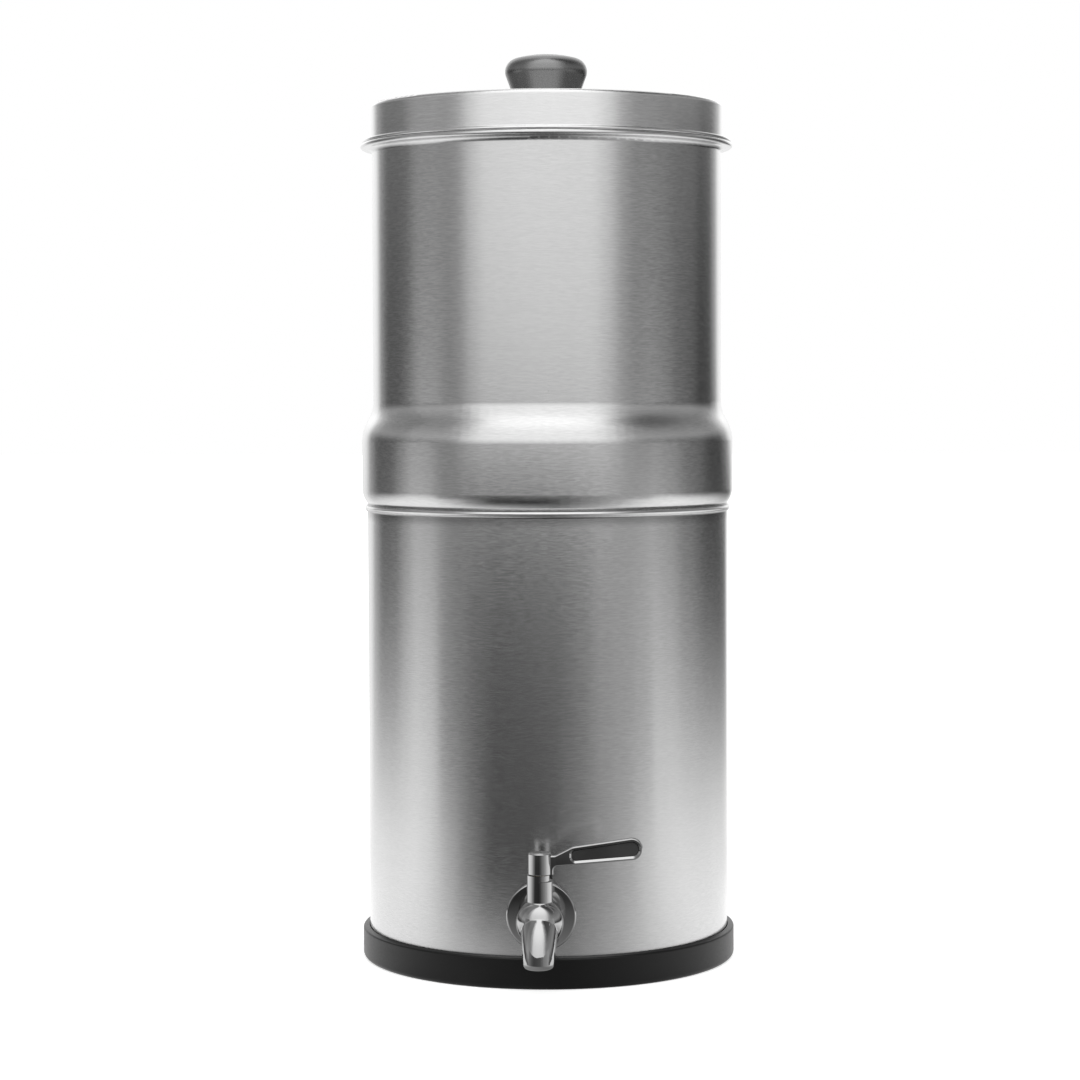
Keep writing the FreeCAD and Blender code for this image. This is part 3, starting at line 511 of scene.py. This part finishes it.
def brushed(name, dark, pale, smooth, rough):
    """Steel brushed round the z axis, from dark to pale and from smooth to rough."""
    finish, tree, surface = new_finish(name)
    fine = lines_round_axis(tree, **FINE_LINES)
    both = between(tree, BROAD_SHARE, fine, lines_round_axis(tree, **BROAD_LINES))
    lines = curve(tree, both, [(TINT_LOW, dark), (TINT_HIGH, pale)], "LINEAR")
    on_rim = rim_place(tree)
    roll = bumped(tree, curve(tree, on_rim, BEAD_ROLL), strength=1.0, depth=BEAD_HEIGHT)
    # The base colour is darkened under the rim: painted shade in the crevice.
    feed(tree, surface, {
        "Base Color": sums(tree, "MULTIPLY", lines, curve(tree, on_rim, RIM_PAINTED_SHADE)),
        "Roughness": spread(tree, fine, NOISE_LOW, NOISE_HIGH, smooth, rough),
        "Normal": bumped(tree, fine, GROOVE_STRENGTH, GROOVE_DEPTH, under=roll),
        "Tangent": add(tree, "Tangent", direction_type="RADIAL", axis="Z").outputs[0]})
    fix(surface, ONE_WAY_GLOSS)
    return finish


steel = brushed("brushed_steel", dark=0.60, pale=0.67, smooth=0.19, rough=0.24)
# The lid's paler copy of the same steel: its extra paleness is painted light.
paler_lid_painted_light = brushed("paler_lid_painted_light", dark=0.69, pale=0.76, smooth=0.20, rough=0.25)
print(steel.name, paler_lid_painted_light.name, len(steel.node_tree.nodes), "nodes")

# %% [markdown]
# ## Chrome
#
# The tap is cast brass, polished and chromed. Chrome is almost a mirror: its drama comes from the
# room and from the piece's own curves, so it needs no painted highlights. Real chrome still has a
# faint softness from the polishing wheel, so the roughness wanders a little and a very shallow bump
# bends the mirror images. Its grey is set a little darker than real chrome, to suit this bright
# room.

# %% Finish: chrome
CLOUD_SCALE = 90.0
WAVE_SCALE = 45.0
WAVE_STRENGTH = 0.3
WAVE_DEPTH = 0.0002


def chromed(name, level, softness):
    """Bright plating over polished metal."""
    finish, tree, surface = new_finish(name)
    place = add(tree, "TexCoord").outputs["Object"]
    cloud = add(tree, "TexNoise", {"Vector": place, "Scale": CLOUD_SCALE, "Detail": 2.0}).outputs[0]
    wave = add(tree, "TexNoise", {"Vector": place, "Scale": WAVE_SCALE, "Detail": 1.0}).outputs[0]
    feed(tree, surface, {
        "Base Color": tinted(tree, cloud, (level, level, level), low=0.97, high=1.0),
        "Roughness": rough_about(tree, cloud, softness, drift=0.3),
        "Normal": bumped(tree, wave, WAVE_STRENGTH, WAVE_DEPTH)})
    fix(surface, {"Metallic": 1.0})
    return finish


chrome = chromed("tap_chrome", level=0.46, softness=0.05)
print(chrome.name, len(chrome.node_tree.nodes), "nodes")

# %% [markdown]
# ## Black mouldings: the knob, the lever's pad, the rings
#
# All are black, and mainly their gloss tells them apart. The knob is smooth and shiny, so it mirrors
# the studio and the lid it stands on. The pad is satin. The base ring is rubber, duller, with a fine
# mottled skin from its mould, and the small rings on the tap's stem are rubber too. One recipe gives
# each a dark colour with a little drift, its own roughness and a bump, instead of four recipes that
# would say nearly the same. The knob's index of refraction is far above a real plastic's, which
# brings its gloss in this room near the real knob's.

# %% Finish: moulded surfaces
PATCH_SCALE = 40.0
SKIN_STRENGTH = 0.5


def moulded(name, colour, roughness, grain, depth, drift=0.25):
    """A moulded surface, dark or pale, with a fine skin of a grain and a depth."""
    finish, tree, surface = new_finish(name)
    place = add(tree, "TexCoord").outputs["Object"]
    skin = add(tree, "TexNoise", {"Vector": place, "Scale": grain, "Detail": 3.0}).outputs[0]
    patch = add(tree, "TexNoise", {"Vector": place, "Scale": PATCH_SCALE, "Detail": 2.0}).outputs[0]
    feed(tree, surface, {
        "Base Color": tinted(tree, patch, colour, 1 - drift, 1 + drift),
        "Roughness": rough_about(tree, skin, roughness, drift=0.12),
        "Normal": bumped(tree, skin, SKIN_STRENGTH, depth)})
    return finish


print("moulding recipe ready")

# %% Finish: the black mouldings
KNOB_IOR = 2.8
RING_GLOSS = 0.4

knob_black = moulded("knob_black", (0.012, 0.012, 0.012), 0.28, 900.0, 0.00001)
pad_black = moulded("pad_black", (0.032, 0.032, 0.032), 0.34, 1600.0, 0.00003)
ring_rubber = moulded("ring_rubber", (0.0018, 0.0018, 0.0018), 0.40, 1100.0, 0.00003)
o_ring_rubber = moulded("o_ring_rubber", (0.02, 0.02, 0.02), 0.30, 1500.0, 0.00001)
fix(knob_black.node_tree.nodes["Principled BSDF"], {"IOR": KNOB_IOR})
fix(ring_rubber.node_tree.nodes["Principled BSDF"], {"Specular IOR Level": RING_GLOSS})
print("black mouldings", 4)

# %% [markdown]
# ## The inner parts
#
# Lift the lid and the upper pot, and the filter shows what it does. Two candles of unglazed
# ceramic, off-white and chalky, stand in white moulded cups on silicone washers, with blocks of
# carbon inside them. The moulding recipe serves for all of these: pale and rough for the ceramic,
# dark and coarse for the carbon. Plastic and silicone also let some light in, so they get a little
# subsurface scattering, which a plain pale colour would lack.

# %% Finish: pale mouldings, ceramic and carbon
LIGHT_DEPTH = (0.004, 0.004, 0.0035)

white_moulding = moulded("white_moulding", (0.78, 0.78, 0.76), 0.45, 1300.0, 0.00003, 0.03)
silicone = moulded("silicone_seal", (0.66, 0.66, 0.63), 0.38, 1200.0, 0.00002, 0.04)
ceramic = moulded("candle_ceramic", (0.80, 0.78, 0.72), 0.85, 1700.0, 0.00012, 0.05)
carbon = moulded("carbon_block", (0.022, 0.022, 0.022), 0.9, 2200.0, 0.00025, 0.35)
for soft, weight in ((white_moulding, 0.15), (silicone, 0.3)):
    fix(soft.node_tree.nodes["Principled BSDF"],
        {"Subsurface Weight": weight, "Subsurface Radius": LIGHT_DEPTH})
print("pale finishes", 4)

# %% [markdown]
# ## Turned metals
#
# The nut, washer and stem inside the tap, and the screws of its lever and of the knob, are turned
# steel. The tap's gland and the knob's bush are brass. A lathe leaves fine rings on all of them.
# Chrome would be too perfect, so these use the line noise again, closer together, in the colour and
# in the roughness.

# %% Finish: turned metals
TOOL_LINES = {"pitch": 0.0004, "length": 0.02, "seed": 5.0, "detail": 2.0}


def turned_metal(name, colour, roughness):
    """Metal with the fine rings that a lathe tool leaves."""
    finish, tree, surface = new_finish(name)
    rings = lines_round_axis(tree, **TOOL_LINES)
    feed(tree, surface, {
        "Base Color": tinted(tree, rings, colour, low=0.9, high=1.0),
        "Roughness": rough_about(tree, rings, roughness, drift=0.2)})
    fix(surface, {"Metallic": 1.0})
    return finish


turned_steel = turned_metal("turned_steel", (0.60, 0.60, 0.60), 0.22)
turned_brass = turned_metal("turned_brass", (0.78, 0.60, 0.30), 0.24)
print(turned_steel.name, turned_brass.name)

# %% [markdown]
# ## Close the skins
#
# A construction model comes as many separate faces, and a round wall closes on itself along one
# upright line where its two ends meet without sharing points. Each end is shaded on its own, so a
# mirror image breaks there. We could model the pots again, but nothing is wrong with their shape.
# Three modifiers mend the shading: Weld joins points that lie in one place, Edge Split keeps the
# real corners crisp, and Weighted Normal lets the large faces decide the rest.

# %% Close the skins
TOUCHING = 0.000002
CORNER = math.radians(32)
FACE_WEIGHT = 60

for part in parts.values():
    weld = part.modifiers.new("join_ends", "WELD")
    weld.merge_threshold = TOUCHING
    corners = part.modifiers.new("keep_corners", "EDGE_SPLIT")
    corners.split_angle = CORNER
    corners.use_edge_sharp = False
    shading = part.modifiers.new("even_shading", "WEIGHTED_NORMAL")
    shading.mode = "FACE_AREA_WITH_ANGLE"
    shading.weight = FACE_WEIGHT
print("closed", len(parts), "skins")

# %% [markdown]
# ## Dress the parts
#
# The construction model's record says which stock each part is made of. We could name a finish for
# each of the parts, but one small table from stock to finish dresses them all, so that two parts of
# one stock always match, and the loop stops with an error if a part has a stock that nobody thought
# of. The lid alone then changes to a paler copy of the same steel, whose paleness is painted light.

# %% Put the finishes on
STOCK = {
    "steel": steel, "plain_steel": turned_steel, "chrome": chrome, "rubber": ring_rubber,
    "black_rubber": o_ring_rubber, "silicone": silicone, "knob": knob_black, "pad": pad_black,
    "white_plastic": white_moulding, "ceramic": ceramic, "carbon": carbon, "brass": turned_brass}


def dress(part, finish):
    """Puts one finish on the whole of a part."""
    for slot in part.material_slots:
        slot.material = finish


for row in frame["record"]["subparts"]:
    part = parts[row["node"]]
    dress(part, STOCK[row["material_slot"]])
# The lid gets the paler steel copy, whose paleness is painted light.
dress(parts["lid"], paler_lid_painted_light)
